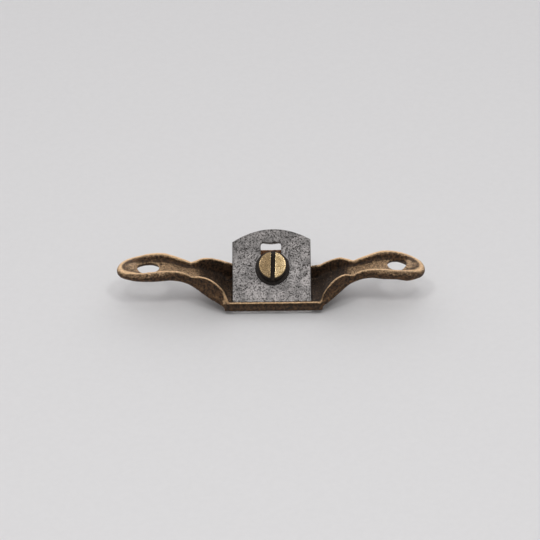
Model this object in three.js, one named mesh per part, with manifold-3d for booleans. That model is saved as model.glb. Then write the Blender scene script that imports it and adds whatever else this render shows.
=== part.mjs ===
// A miniature bronze spokeshave, about 100 mm long, in millimetres.
// X runs along the tool, -Y is the toe (front), +Z is up and the flat of the sole is z = 0.
// One casting makes the sole, toe bar, bed and both trough-shaped handles. A steel cutter lies on
// the bed, held by one slotted screw and its washer.

import * as THREE from 'three';
import { LoftGeometry } from 'three/addons/geometries/LoftGeometry.js';
import { mergeVertices } from 'three/addons/utils/BufferGeometryUtils.js';
import Module from 'manifold-3d';

const { clamp, degToRad, lerp, smoothstep } = THREE.MathUtils;

// ---------------------------------------------------------------- driving dimensions

const soleHalf = 9;              // half of the sole's depth, toe to heel
const floorTop = 1.8;            // thickness of the sole plate
const toeTop = 3;                // height of the toe bar
const padStep = 1.2;             // the sole stands this proud of the casting beside it
const bedAngle = degToRad(44);
const mouthFront = -7.5;         // back face of the toe bar
const mouthHalf = 12.95;

const cutterHalf = 12.7;         // a one inch cutter
const cutterShift = -0.27;       // it sits a little to the left of the screw
const cutterThick = 2;
const cutterFaceAtSole = -6.4;   // y where the cutter's front face crosses the sole plane
const cutterBelowSole = 2.05;    // reach past the sole plane, measured along the bed
const cutterShoulder = [21.7, 22.4];   // left and right shoulder, along the bed
const cutterApex = 25.9;
const cutterEdgeBow = 0.2;       // the edge's middle reaches this much past its corners
const slotHalf = 3.3;
const slotShift = -0.44;
const slotSpan = [8, 21.5];      // lower and upper end of the slot, along the bed
const slotCorner = 0.9;
const slotSag = 0.5;             // dip in the middle of the slot's upper end
const bevelLength = 4.2;
const edgeThick = 0.15;

const screwSeat = 12.75;         // screw axis, along the bed
const headRadius = 4.5;
const headHeight = 3.8;
const headChamfer = 0.25;
const driveSlot = 1.4;
const driveDepth = 2.4;
const driveTurn = degToRad(-2.2);
const driveShift = 0.15;         // the slot is cut a little off centre
const washerRadius = 5.55;
const washerHole = 2.6;
const washerThick = 0.8;
const shankRadius = 2.4;
const shankReach = 7.8;          // under the head
const shankPoint = 0.6;          // length of the tapered end
const tappedRadius = 2.52;
const seatGap = 0.05;            // clearance between pieces that touch

const bedHalf = 12.4;
const bedThick = 3;
const bedTop = 12.4;             // full-width part of the bed, along the bed
const bedCorner = 1.5;
const lugHalf = 6.3;
const lugFoot = 6;
const lugTop = 19.6;
const lugCorner = 2.2;
const lugCrown = 0.35;
const bossRadius = 4.6;
const bossDepth = 4.15;          // thread in the casting, five turns
const gussetThick = 2;           // webs from the back of the bed to the rear wall
const gussetTop = 5.2;
const throatTop = 6;
const belowSole = 1.5;           // how far the throat's cut runs past the sole
const rearDip = 2.6;             // height of the rear wall behind the screw

const lobeAt = 39;               // widest place of a handle
const evenTip = 10.25;           // tip height at which the rim's curve needs no bend
const flangeRise = 7.4;          // run of the near flange's curve, foot to crest
const recessEnd = [9.5, 4];        // the recess fades out between these distances from the tip
const wallBevel = [0.9, 0.5];    // bevel under the flange, and the bevel added under the handle
const wallHollow = [0.45, -0.12];  // hollow in the flange's wall, and belly of the handle's wall
const ridgeAbove = [1.2, 1];     // height of the wall's ridge over the underside, handle, flange
const lipDrop = 0.45;            // the rim's outer corner lies this far below its top
const bellyDepth = 0.35;
const holeDraft = 0.7;           // the hang holes widen by this for each mm below the recess
const left = {
  tip: 50.2,
  tipHeight: 10.8,
  flangeFoot: 14.25,
  flangeCrest: 11.1,
  soleEnd: 15.4,
  underside: [
    [17.9, 2.3], [20.5, 3.4], [24.6, 5.9], [27.4, 7.5], [29.7, 8.4], [32.3, 9.2], [35.5, 9.65],
  ],
  farFlange: [
    [8.5, rearDip], [12.5, 7.2], [13.5, 7.6], [15.5, 8.4], [18.2, 9.6], [20.6, 10.7], [23, 11.2],
    [24.6, 11],
  ],
  hangHole: { x: -40.1, y: 0.1, floor: 11, radiusX: 3.5, radiusY: 3.2 },
};
const right = {
  tip: 49.2,
  tipHeight: 9.95,
  flangeFoot: 15.45,
  flangeCrest: 11.3,
  soleEnd: 15.9,
  underside: [
    [17.9, 2.1], [20.5, 3.9], [22.5, 5.4], [24.6, 6.8], [27.4, 8.1], [29.7, 8.85], [33, 9.5],
  ],
  farFlange: [
    [8.5, rearDip], [12, 6], [13.5, 6.35], [15, 6.6], [17.2, 7.9], [19.4, 9.3], [22.2, 10.8],
    [24.2, 10.9],
  ],
  hangHole: { x: 40.2, y: 0.8, floor: 10.6, radiusX: 3.1, radiusY: 3.2 },
};

// ---------------------------------------------------------------- curves of the casting

// A smooth curve through a few [x, value] points, with no overshoot between them.
function through(points) {
  const slope = points.map((point, i) => {
    if (i === 0 || i === points.length - 1) return 0;
    const before = (point[1] - points[i - 1][1]) / (point[0] - points[i - 1][0]);
    const after = (points[i + 1][1] - point[1]) / (points[i + 1][0] - point[0]);
    return before * after <= 0 ? 0 : (2 * before * after) / (before + after);
  });
  return (x) => {
    if (x <= points[0][0]) return points[0][1];
    if (x >= points.at(-1)[0]) return points.at(-1)[1];
    const i = points.findIndex((point) => point[0] > x) - 1;
    const run = points[i + 1][0] - points[i][0];
    const t = (x - points[i][0]) / run;
    const rise = points[i + 1][1] - points[i][1];
    const bend = t * (1 - t);
    return points[i][1] + rise * t * t * (3 - 2 * t)
      + run * bend * (slope[i] * (1 - t) - slope[i + 1] * t);
  };
}

// The quarter of a round end: 1 at its start, 0 at its end.
function roundEnd(x, start, end) {
  const t = clamp((x - start) / (end - start), 0, 1);
  return Math.sqrt(1 - t * t);
}

const halfWidth = through([
  [14, soleHalf], [17.9, 8.3], [20.5, 7.2], [23, 6.1], [25.2, 5.2], [27.4, 4.85], [29.4, 5.05],
  [32.3, 5.9], [35.5, 6.85], [lobeAt, 7.2],
]);
const handleRim = through([
  [24, 10.3], [25.8, 10.4], [27.4, 11.2], [29, 11.9], [32.3, 12.75], [35.6, 13.15], [39, 12.9],
  [43.4, 12.15], [46.8, 11.55], [50, 11],
]);
const rimWidth = through([
  [12, 1.45], [14.5, 1.45], [17.5, 1], [20, 1], [26, 1.4], [30, 1.8], [36, 2.4], [lobeAt, 2.5],
]);
const recessFloor = through([
  [14, floorTop], [17.9, 4.1], [21, 6], [24, 8.3], [27.4, 9.6], [30, 10.4], [34, 11.3], [37, 11.4],
  [43, 10.8], [47, 10.5],
]);

function undersideOf(side) {
  return through([
    [side.soleEnd, 0], [side.soleEnd + 0.25, padStep], ...side.underside,
    [lobeAt, 9.65], [44, side.tipHeight - 1.4], [50, side.tipHeight - 1.6],
  ]);
}

// Half-width, rim heights, underside and floor of the casting at one place along it.
function castingAt(x) {
  const side = x < 0 ? left : right;
  const out = Math.abs(x);
  const plan = halfWidth(out) * roundEnd(out, lobeAt, side.tip);
  const rim = handleRim(out) + (side.tipHeight - evenTip) * smoothstep(out, 41, 49);
  const under = undersideOf(side)(out);

  const rise = clamp((out - side.flangeFoot) / flangeRise, 0, 1);
  const flange = toeTop + (side.flangeCrest - toeTop) * Math.pow(1 - (1 - rise) ** 2, 0.68);
  const near = lerp(flange, rim, smoothstep(out, 23, 26));
  const far = lerp(through(side.farFlange)(out), rim, smoothstep(out, 24.4, 27));

  const middle = (rim + under) / 2;
  const close = roundEnd(out, side.tip - 1.8, side.tip + 0.02);
  const recess = 1 - smoothstep(out, side.tip - recessEnd[0], side.tip - recessEnd[1]);
  const droop = (side.tipHeight - left.tipHeight) * smoothstep(out, 35, 45);
  const floor = recessFloor(out) + droop;
  return { plan, near, far, rim, under, middle, close, recess, floor, out };
}

// One cross-section, counter-clockwise as seen from +X: along the underside, up the far wall,
// over its rim, along the floor of the trough, and over the near rim and down its wall.
function castingSection(x) {
  const at = castingAt(x);
  const small = Math.min(1, at.plan / 5.5);
  const inEar = 1 - smoothstep(at.out, 26, 31);
  const width = rimWidth(at.out) * small;
  const bevel = small * (wallBevel[0] * smoothstep(at.out, 15.4, 19)
    + wallBevel[1] * smoothstep(at.out, 27, 33));
  const hollow = lerp(wallHollow[1], wallHollow[0], inEar) * small;
  const belly = bellyDepth * smoothstep(at.out, 16, 22);

  const wall = (top) => {
    const ridge = at.under + lerp(ridgeAbove[0], ridgeAbove[1], inEar);
    const lip = top - lipDrop;
    return [
      [bevel, at.under],
      [0, ridge],
      [hollow, lerp(ridge, lip, 0.4)],
      [hollow * 0.8, lerp(ridge, lip, 0.75)],
      [0.12 * width, lip],
      [0.34 * width, top],
      [0.72 * width, top + 0.08 * (1 - at.recess)],
      [width, lerp(top + 0.12, top - 0.4, at.recess)],
      [1.25 * width, lerp(top + 0.15, at.floor + 0.3, at.recess)],
      [1.7 * width, lerp(top + 0.18, at.floor, at.recess)],
    ];
  };

  const farWall = wall(at.far).map(([inset, z]) => [at.plan - inset, z]);
  const nearWall = wall(at.near).map(([inset, z]) => [inset - at.plan, z]).reverse();
  const floor = lerp(at.rim + 0.22, at.floor - 0.1, at.recess);
  const outline = [[0, at.under - belly], ...farWall, [0, floor], ...nearWall];
  return outline.map(([y, z]) => (
    new THREE.Vector3(x, y, lerp(at.middle, z, at.close))
  ));
}

// Places along one side: even over the sole, closer where the near flange rises and at the tip.
function stationsOf(side) {
  const stations = [];
  for (let i = 1; i <= 7; i++) stations.push((side.flangeFoot * i) / 7);
  stations.push(side.soleEnd, side.soleEnd + 0.25);
  for (let i = 1; i <= 11; i++) {
    stations.push(side.flangeFoot + flangeRise * (1 - Math.cos((i / 11) * Math.PI / 2)));
  }
  const crest = stations.at(-1);
  for (let i = 1; i <= 14; i++) stations.push(crest + ((lobeAt - crest) * i) / 14);
  for (let i = 1; i <= 12; i++) {
    stations.push(lobeAt + (side.tip - lobeAt) * Math.sin((i / 12.4) * Math.PI / 2));
  }
  return stations.sort((a, b) => a - b);
}

// ---------------------------------------------------------------- joining and cutting

const wasm = await Module();
wasm.setup();

function solid(geometry) {
  geometry.deleteAttribute('normal');
  geometry.deleteAttribute('uv');
  const merged = mergeVertices(new THREE.BufferGeometry().copy(geometry), 1e-4);
  return new wasm.Manifold(new wasm.Mesh({
    numProp: 3,
    vertProperties: merged.attributes.position.array,
    triVerts: Uint32Array.from(merged.index.array),
  }));
}

function geometryOf(manifold) {
  const mesh = manifold.getMesh();
  const geometry = new THREE.BufferGeometry();
  geometry.setAttribute('position', new THREE.BufferAttribute(mesh.vertProperties, 3));
  geometry.setIndex(new THREE.BufferAttribute(mesh.triVerts, 1));
  geometry.computeVertexNormals();
  return geometry;
}

// Bed coordinates: u across the tool, s up the bed from the sole plane, n out from the bed.
// n = 0 is the cutter's front face.
const bedFrame = new THREE.Matrix4().makeBasis(
  new THREE.Vector3(1, 0, 0),
  new THREE.Vector3(0, Math.cos(bedAngle), Math.sin(bedAngle)),
  new THREE.Vector3(0, -Math.sin(bedAngle), Math.cos(bedAngle)),
).setPosition(0, cutterFaceAtSole, 0);

// An outline drawn on the bed, as thick as from n = low to n = high.
function onBed(shape, low, high, curveSegments = 12) {
  const geometry = new THREE.ExtrudeGeometry(shape, {
    depth: high - low, bevelEnabled: false, curveSegments,
  });
  return geometry.translate(0, 0, low).applyMatrix4(bedFrame);
}

function discOnBed(radius, low, high, sides = 40) {
  const geometry = new THREE.CylinderGeometry(radius, radius, high - low, sides);
  return geometry.rotateX(Math.PI / 2).translate(0, screwSeat, (low + high) / 2)
    .applyMatrix4(bedFrame);
}

// A prism along X with the given outline of [y, z] points.
function prismAlongX(outline, half) {
  const shape = new THREE.Shape(outline.map(([y, z]) => new THREE.Vector2(y, z)));
  const geometry = new THREE.ExtrudeGeometry(shape, { depth: 2 * half, bevelEnabled: false });
  geometry.translate(0, 0, -half);
  return geometry.applyMatrix4(new THREE.Matrix4().makeBasis(
    new THREE.Vector3(0, 1, 0), new THREE.Vector3(0, 0, 1), new THREE.Vector3(1, 0, 0)));
}

// ---------------------------------------------------------------- the casting

const bedPlane = -cutterThick - seatGap;

function bedSlab() {
  const shape = new THREE.Shape();
  shape.moveTo(-bedHalf, -1);
  shape.lineTo(bedHalf, -1);
  shape.lineTo(bedHalf, bedTop - bedCorner);
  shape.quadraticCurveTo(bedHalf, bedTop, bedHalf - bedCorner, bedTop);
  shape.lineTo(-bedHalf + bedCorner, bedTop);
  shape.quadraticCurveTo(-bedHalf, bedTop, -bedHalf, bedTop - bedCorner);
  return onBed(shape, bedPlane - bedThick, bedPlane, 4);
}

function lug() {
  const shape = new THREE.Shape();
  const cornerTop = lugTop - lugCrown;
  const cornerFoot = cornerTop - lugCorner;
  shape.moveTo(-lugHalf, lugFoot);
  shape.lineTo(lugHalf, lugFoot);
  shape.lineTo(lugHalf, cornerFoot);
  shape.quadraticCurveTo(lugHalf, cornerTop, lugHalf - lugCorner, cornerTop);
  shape.quadraticCurveTo(0, lugTop + lugCrown, -lugHalf + lugCorner, cornerTop);
  shape.quadraticCurveTo(-lugHalf, cornerTop, -lugHalf, cornerFoot);
  return onBed(shape, bedPlane - bedThick, bedPlane, 6);
}

// An oval plug through a handle: straight above the recess's floor, and widening below it.
function hangHole({ x, y, floor, radiusX, radiusY }) {
  const reach = 4;
  const foot = 1 + (holeDraft * reach) / radiusX;
  const profile = [[0, -reach], [foot, -reach], [1, 0], [1, reach], [0, reach]];
  const geometry = new THREE.LatheGeometry(profile.map(([r, z]) => new THREE.Vector2(r, z)), 36);
  return geometry.rotateX(Math.PI / 2).scale(radiusX, radiusY, 1).translate(x, y, floor);
}

function bodyCasting() {
  const stations = [...stationsOf(left).map((x) => -x).reverse(), 0, ...stationsOf(right)];
  const shell = new LoftGeometry(stations.map(castingSection), { capStart: true, capEnd: true });

  const bedRun = 1 / Math.tan(bedAngle);
  const bedAtSole = cutterFaceAtSole + (cutterThick + seatGap) / Math.sin(bedAngle);
  const throat = prismAlongX([
    [mouthFront, -belowSole],
    [bedAtSole - belowSole * bedRun, -belowSole],
    [bedAtSole + throatTop * bedRun, throatTop],
    [mouthFront, throatTop],
  ], mouthHalf).translate(cutterShift, 0, 0);
  const gusset = () => prismAlongX([
    [0, 0.4], [soleHalf - 0.8, 0.4], [soleHalf - 0.8, gussetTop], [gussetTop, gussetTop],
  ], gussetThick / 2);
  const gussetAt = bedHalf - gussetThick / 2;
  const underSole = new THREE.BoxGeometry(120, 60, 20).translate(0, 0, -10);

  let body = solid(shell)
    .add(solid(bedSlab()))
    .add(solid(lug()))
    .add(solid(gusset().translate(-gussetAt, 0, 0)))
    .add(solid(gusset().translate(gussetAt, 0, 0)))
    .add(solid(discOnBed(bossRadius, bedPlane - bossDepth, bedPlane - 1)));
  body = body.subtract(solid(throat));
  body = body.subtract(solid(underSole));
  body = body.subtract(solid(discOnBed(tappedRadius, bedPlane - bossDepth - 1, bedPlane + 1, 32)));
  body = body.subtract(solid(hangHole(left.hangHole)));
  body = body.subtract(solid(hangHole(right.hangHole)));
  return geometryOf(body);
}

// ---------------------------------------------------------------- the moving pieces

function cutter() {
  const shape = new THREE.Shape();
  const foot = -cutterBelowSole;
  const [shoulderLeft, shoulderRight] = cutterShoulder;
  const edgeLeft = cutterShift - cutterHalf;
  const edgeRight = cutterShift + cutterHalf;
  const corner = foot + cutterEdgeBow;
  shape.moveTo(edgeLeft, corner);
  shape.quadraticCurveTo(cutterShift, foot - cutterEdgeBow, edgeRight, corner);
  shape.lineTo(edgeRight, shoulderRight);
  const lift = 2 * cutterApex - (shoulderLeft + shoulderRight) / 2;
  shape.quadraticCurveTo(cutterShift, lift, edgeLeft, shoulderLeft);

  const [low, high] = slotSpan;
  const slot = new THREE.Path();
  const slotLeft = slotShift - slotHalf;
  const slotRight = slotShift + slotHalf;
  slot.moveTo(slotLeft, low + slotHalf);
  slot.absarc(slotShift, low + slotHalf, slotHalf, Math.PI, 2 * Math.PI, false);
  slot.lineTo(slotRight, high - slotCorner);
  slot.quadraticCurveTo(slotRight, high, slotRight - slotCorner, high);
  slot.quadraticCurveTo(slotShift, high - slotSag, slotLeft + slotCorner, high);
  slot.quadraticCurveTo(slotLeft, high, slotLeft, high - slotCorner);
  shape.holes.push(slot);

  const blank = solid(onBed(shape, -cutterThick, 0, 16));
  const slope = Math.atan2(cutterThick - edgeThick, bevelLength);
  const stoneLong = bevelLength + 1;
  const stone = new THREE.BoxGeometry(2 * cutterHalf + 5, stoneLong, 6)
    .translate(0, -stoneLong / 2, -3)
    .rotateX(-slope)
    .translate(0, foot + bevelLength, -cutterThick)
    .applyMatrix4(bedFrame);
  return geometryOf(blank.subtract(solid(stone)));
}

function clampWasher() {
  const top = seatGap + washerThick;
  const ring = solid(discOnBed(washerRadius, seatGap, top, 48));
  const hole = solid(discOnBed(washerHole, seatGap - 1, top + 1, 32));
  return geometryOf(ring.subtract(hole));
}

function clampScrew() {
  const under = washerThick + 2 * seatGap;
  const top = under + headHeight;
  const end = under - shankReach;
  const profile = [
    [0, end],
    [shankRadius - 0.5, end],
    [shankRadius, end + shankPoint],
    [shankRadius, under],
    [headRadius, under],
    [headRadius, top - headChamfer],
    [headRadius - headChamfer, top],
    [0, top],
  ].map(([radius, height]) => new THREE.Vector2(radius, height));
  const turned = new THREE.LatheGeometry(profile, 40)
    .rotateX(Math.PI / 2)
    .translate(0, screwSeat, 0)
    .applyMatrix4(bedFrame);
  const slit = new THREE.BoxGeometry(driveSlot, 3 * headRadius, 2 * driveDepth)
    .rotateZ(driveTurn)
    .translate(driveShift, screwSeat, top)
    .applyMatrix4(bedFrame);
  return geometryOf(solid(turned).subtract(solid(slit)));
}

// ---------------------------------------------------------------- the assembly

const bronze = new THREE.MeshStandardMaterial({ color: 0x8f6f45, roughness: 0.5, metalness: 0.9 });
const steel = new THREE.MeshStandardMaterial({ color: 0x8d8b89, roughness: 0.5, metalness: 0.8 });
const darkSteel = new THREE.MeshStandardMaterial({ color: 0x2a2624, roughness: 0.6, metalness: 0.7 });
const brass = new THREE.MeshStandardMaterial({ color: 0xc9a85c, roughness: 0.35, metalness: 1 });

const spokeshave = new THREE.Group();
const pieces = [
  ['body_casting', bodyCasting(), bronze],
  ['cutter', cutter(), steel],
  ['clamp_washer', clampWasher(), darkSteel],
  ['clamp_screw', clampScrew(), brass],
];
for (const [name, geometry, material] of pieces) {
  const mesh = new THREE.Mesh(geometry, material);
  mesh.name = name;
  spokeshave.add(mesh);
}

export default spokeshave;
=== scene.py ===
# %% [markdown]
# # A miniature bronze spokeshave
#
# The tool is about 100 mm long. One bronze casting makes its sole, its toe bar and its two
# trough-shaped handles. A steel cutter with an arched top lies on a sloping bed inside it, and one
# slotted screw with a washer clamps it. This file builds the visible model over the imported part,
# piece by piece, in the part's own frame: X along the tool, -Y towards the toe, Z up.

import math

import bpy
import numpy as np
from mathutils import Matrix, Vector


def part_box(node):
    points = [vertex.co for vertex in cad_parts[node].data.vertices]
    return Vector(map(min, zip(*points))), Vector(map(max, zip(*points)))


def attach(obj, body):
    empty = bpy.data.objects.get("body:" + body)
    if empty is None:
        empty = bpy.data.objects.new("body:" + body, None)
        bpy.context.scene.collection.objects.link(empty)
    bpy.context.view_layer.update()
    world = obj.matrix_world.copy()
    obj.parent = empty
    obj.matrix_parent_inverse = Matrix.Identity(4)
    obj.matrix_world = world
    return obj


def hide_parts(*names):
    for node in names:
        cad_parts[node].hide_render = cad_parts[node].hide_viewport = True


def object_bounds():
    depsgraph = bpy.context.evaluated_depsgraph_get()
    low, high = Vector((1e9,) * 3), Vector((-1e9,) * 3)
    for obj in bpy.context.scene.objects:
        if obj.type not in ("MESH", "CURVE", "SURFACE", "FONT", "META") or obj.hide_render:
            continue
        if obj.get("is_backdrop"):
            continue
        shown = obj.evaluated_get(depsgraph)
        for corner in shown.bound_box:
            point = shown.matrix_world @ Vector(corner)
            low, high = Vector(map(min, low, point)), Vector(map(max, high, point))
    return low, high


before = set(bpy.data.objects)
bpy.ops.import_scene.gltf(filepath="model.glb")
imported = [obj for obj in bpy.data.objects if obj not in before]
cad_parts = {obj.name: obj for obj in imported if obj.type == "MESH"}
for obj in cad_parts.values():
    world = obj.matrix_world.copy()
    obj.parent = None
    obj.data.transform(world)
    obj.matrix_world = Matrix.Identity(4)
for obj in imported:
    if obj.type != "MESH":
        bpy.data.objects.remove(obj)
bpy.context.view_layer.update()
MM = 0.001
cast_low, cast_high = (np.array(corner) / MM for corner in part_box("body_casting"))
blade_low, blade_high = (np.array(corner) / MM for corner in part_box("cutter"))
print("casting, mm:", cast_low.round(2), cast_high.round(2))

# %% [markdown]
# ## Small helpers
#
# Everything below is worked out in millimetres on whole numpy arrays. A shape is either a stack of
# rings, one closed outline after another, or such a stack cut and joined by other solids. These
# helpers make smooth curves through a few measured points, turn rings into a mesh, and read a mesh
# back as arrays. The curve never overshoots its points, which keeps a handle from growing bumps.

# %% Curves and steps


def ease(x, start, end):
    """0 before start, 1 after end, and a smooth S between: t squared times (3 - 2t)."""
    t = np.clip((x - start) / (end - start), 0, 1)
    return t * t * (3 - 2 * t)


def blend(a, b, t):
    """a at t = 0 and b at t = 1, straight between."""
    return a + (b - a) * t


def round_end(x, start, end):
    """The quarter of an ellipse: 1 at start, 0 at end, the root of 1 - t squared between."""
    t = np.clip((x - start) / (end - start), 0, 1)
    return np.sqrt(1 - t * t)


def through(points):
    """A smooth curve through [x, value] points. Each inner slope is the harmonic mean of the
    slopes on its two sides, or flat at a peak, so the curve never overshoots."""
    x, y = np.array(points, float).T
    run, rise = np.diff(x), np.diff(y)
    slope = rise / run
    before, after = slope[:-1], slope[1:]
    same = before * after > 0
    mean = np.where(same, 2 * before * after / np.where(same, before + after, 1), 0)
    tangent = np.concatenate([[0], mean, [0]])

    def curve(at):
        at = np.clip(at, x[0], x[-1])
        i = np.clip(np.searchsorted(x, at, side="right") - 1, 0, len(run) - 1)
        t = (at - x[i]) / run[i]
        bend = run[i] * t * (1 - t) * (tangent[i] * (1 - t) - tangent[i + 1] * t)
        return y[i] + rise[i] * t * t * (3 - 2 * t) + bend

    return curve


# %% Meshes from rings, and back


def put_mesh(name, points, faces):
    """A mesh object at the origin from points in mm and a list of corner lists."""
    mesh = bpy.data.meshes.new(name)
    mesh.from_pydata((np.asarray(points) * MM).tolist(), [], faces)
    mesh.update()
    piece = bpy.data.objects.new(name, mesh)
    bpy.context.scene.collection.objects.link(piece)
    return piece


def rings_to_faces(rings, around, closed=False):
    """Four-cornered faces between each ring and the next, every ring closed on itself. With closed,
    the last ring joins the first and makes a torus. Otherwise each end gets one flat cap."""
    ring = np.arange(rings if closed else rings - 1)[:, None]
    corner = np.arange(around)[None, :]
    after, beside = (ring + 1) % rings, (corner + 1) % around
    faces = np.stack([
        ring * around + corner,
        ring * around + beside,
        after * around + beside,
        after * around + corner,
    ], axis=-1).reshape(-1, 4).tolist()
    if not closed:
        faces.append(list(range(around))[::-1])
        faces.append(list(range((rings - 1) * around, rings * around)))
    return faces


def put_rings(name, rings, closed=False):
    """A mesh from an array of rings, (ring, point, xyz)."""
    count, around, _ = rings.shape
    return put_mesh(name, rings.reshape(-1, 3), rings_to_faces(count, around, closed))


def finish_with(piece, kind, **settings):
    """Adds one modifier, applies it at once, and leaves the result as the piece's mesh."""
    modifier = piece.modifiers.new(kind.title(), kind)
    for key, value in settings.items():
        setattr(modifier, key, value)
    seen = piece.evaluated_get(bpy.context.evaluated_depsgraph_get())
    made = bpy.data.meshes.new_from_object(seen)
    piece.modifiers.clear()
    old, piece.data = piece.data, made
    made.name = piece.name
    bpy.data.meshes.remove(old)
    return piece


def cut_or_join(piece, tool, operation):
    """Joins a closed solid to a piece, or cuts it out, and throws the tool away."""
    finish_with(piece, "BOOLEAN", object=tool, operation=operation, solver="MANIFOLD")
    bpy.data.objects.remove(tool)
    return piece


def points_of(mesh):
    """The mesh's points in mm."""
    flat = np.empty(len(mesh.vertices) * 3, np.float32)
    mesh.vertices.foreach_get("co", flat)
    return flat.reshape(-1, 3).astype(float) / MM


def normals_of(mesh):
    """The outward direction at each point."""
    flat = np.empty(len(mesh.vertices) * 3, np.float32)
    mesh.vertices.foreach_get("normal", flat)
    return flat.reshape(-1, 3).astype(float)


def edges_of(mesh):
    """The two points of each edge."""
    flat = np.empty(len(mesh.edges) * 2, np.int32)
    mesh.edges.foreach_get("vertices", flat)
    return flat.reshape(-1, 2)


def move_points(mesh, points):
    """Puts points, in mm, back into the mesh."""
    mesh.vertices.foreach_set("co", (points * MM).astype(np.float32).ravel())
    mesh.update()


def averaged(values, edges, rounds, share=0.5):
    """Each point's value moved by share towards the mean of its neighbours, a number of times."""
    a, b = edges.T
    count = len(values)
    degree = np.bincount(a, minlength=count) + np.bincount(b, minlength=count)
    columns = values.reshape(count, -1)
    for _ in range(rounds):
        total = np.stack([
            np.bincount(a, column[b], count) + np.bincount(b, column[a], count)
            for column in columns.T
        ], axis=1)
        columns = columns + share * (total / np.maximum(degree, 1)[:, None] - columns)
    return columns.reshape(values.shape)


def grain(points, size, seed):
    """Smooth noise from -1 to 1: a fixed random value at every corner of a cube lattice of the
    given size in mm, blended across each cube with an S-shaped weight."""
    cell = points / size
    base = np.floor(cell).astype(np.int64)
    inside = cell - base
    inside = inside * inside * (3 - 2 * inside)
    total = np.zeros(len(points))
    for corner in np.ndindex(2, 2, 2):
        step = np.array(corner)
        key = (base + step) @ np.array([73856093, 19349663, 83492791]) + seed * 7919
        key = ((key ^ (key >> 13)) * 1274126177) & 0x7FFFFFFF
        key = key ^ (key >> 15)
        total += np.where(step, inside, 1 - inside).prod(axis=1) * ((key & 0xFFFF) / 32767.5 - 1)
    return total


def store(mesh, name, values):
    """Keeps one number per point, for a material to read."""
    kept = mesh.attributes.new(name, "FLOAT", "POINT")
    kept.data.foreach_set("value", np.clip(values, 0, 1).astype(np.float32))


# %% [markdown]
# ## The bed's own directions
#
# The cutter, washer and screw all lie square to the sloping bed, so they are drawn in the bed's
# directions and turned into place afterwards: u across the tool, s up the bed from the sole plane,
# and n out from the cutter's front face. The bed rises at 44 degrees, a common spokeshave angle.

# %% Bed directions
bed_angle = math.radians(44)
face_at_sole = -6.4  # Y where the cutter's front face meets the plane of the sole
screw_seat = 12.75  # how far up the bed the screw's axis stands
cutter_thick = 2.0
cutter_middle = (blade_low[0] + blade_high[0]) / 2
seat_gap = 0.05  # left between pieces that touch
up_bed = np.array([0, math.cos(bed_angle), math.sin(bed_angle)])
off_bed = np.array([0, -math.sin(bed_angle), math.cos(bed_angle)])


def on_bed(u, s, n):
    """Frame coordinates of a point u across, s up the bed and n out from the cutter's face."""
    u, s, n = np.broadcast_arrays(u, s, n)
    across = np.stack([u, np.zeros_like(u) + face_at_sole, np.zeros_like(u)], axis=-1)
    return across + s[..., None] * up_bed + n[..., None] * off_bed


print("screw's axis at the cutter's face, mm:", on_bed(0, screw_seat, 0).round(2))

# %% Plain solids on the bed


def disc_on_bed(name, radius, low, high, around=64):
    """A plain round plug square to the bed, used to join a boss or cut a hole."""
    turn = np.linspace(0, 2 * np.pi, around, endpoint=False)[None, :]
    height = np.array([low, high])[:, None]
    u, s = radius * np.cos(turn), screw_seat + radius * np.sin(turn)
    return put_rings(name, on_bed(u + 0 * height, s + 0 * height, height + 0 * turn))


def prism_on_bed(name, outline, low, high):
    """A plate square to the bed: one [u, s] outline at two heights."""
    u, s = np.array(outline, float).T
    rings = np.stack([on_bed(u, s, np.full(len(u), n)) for n in (low, high)])
    return put_rings(name, rings)


def prism_along_x(name, outline, left, right):
    """A bar along the tool: one [y, z] outline at two places along X."""
    y, z = np.array(outline, float).T
    rings = np.stack([np.stack([np.full(len(y), x), y, z], axis=-1) for x in (left, right)])
    return put_rings(name, rings)


# %% [markdown]
# ## The casting's curves
#
# The real casting is a wooden pattern's shape in bronze: a flat sole with a toe bar, from which two
# flanges sweep up on each side and run out into handles hollowed like a trough. The two sides
# differ a little, as hand-finished castings do. A modeller could push and pull a box into this
# shape, but a loft is closer to how the pattern is drawn: a few curves along the tool give the
# plan, the rims, the underside and the trough's floor, and every cross-section follows from them.

# %% The two sides
sole_half = -cast_low[1]
floor_top, toe_top = 1.8, 3.0  # heights of the sole's upper side and of the toe bar
pad_step = 1.2  # the sole stands this far below the flanges that leave it
rear_dip = 2.6  # height of the rear wall's low middle
LEFT = dict(
    sign=-1, tip=-cast_low[0], tip_height=10.8, flange_foot=14.25, flange_crest=11.1, sole_end=15.4,
    underside=[[17.9, 2.3], [20.5, 3.4], [24.6, 5.9], [27.4, 7.5], [29.7, 8.4], [32.3, 9.2],
               [35.5, 9.65]],
    far_flange=[[8.5, rear_dip], [12.5, 7.2], [13.5, 7.6], [15.5, 8.4], [18.2, 9.6], [20.6, 10.7],
                [23, 11.2], [24.6, 11]],
    hang_hole=(-40.1, 0.1, 11, 3.5, 3.2),
)
RIGHT = dict(
    sign=1, tip=cast_high[0], tip_height=9.95, flange_foot=15.45, flange_crest=11.3, sole_end=15.9,
    underside=[[17.9, 2.1], [20.5, 3.9], [22.5, 5.4], [24.6, 6.8], [27.4, 8.1], [29.7, 8.85],
               [33, 9.5]],
    far_flange=[[8.5, rear_dip], [12, 6], [13.5, 6.35], [15, 6.6], [17.2, 7.9], [19.4, 9.3],
                [22.2, 10.8], [24.2, 10.9]],
    hang_hole=(40.2, 0.8, 10.6, 3.1, 3.2),
)
print("tips, mm from the middle:", round(LEFT["tip"], 2), round(RIGHT["tip"], 2))

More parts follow.
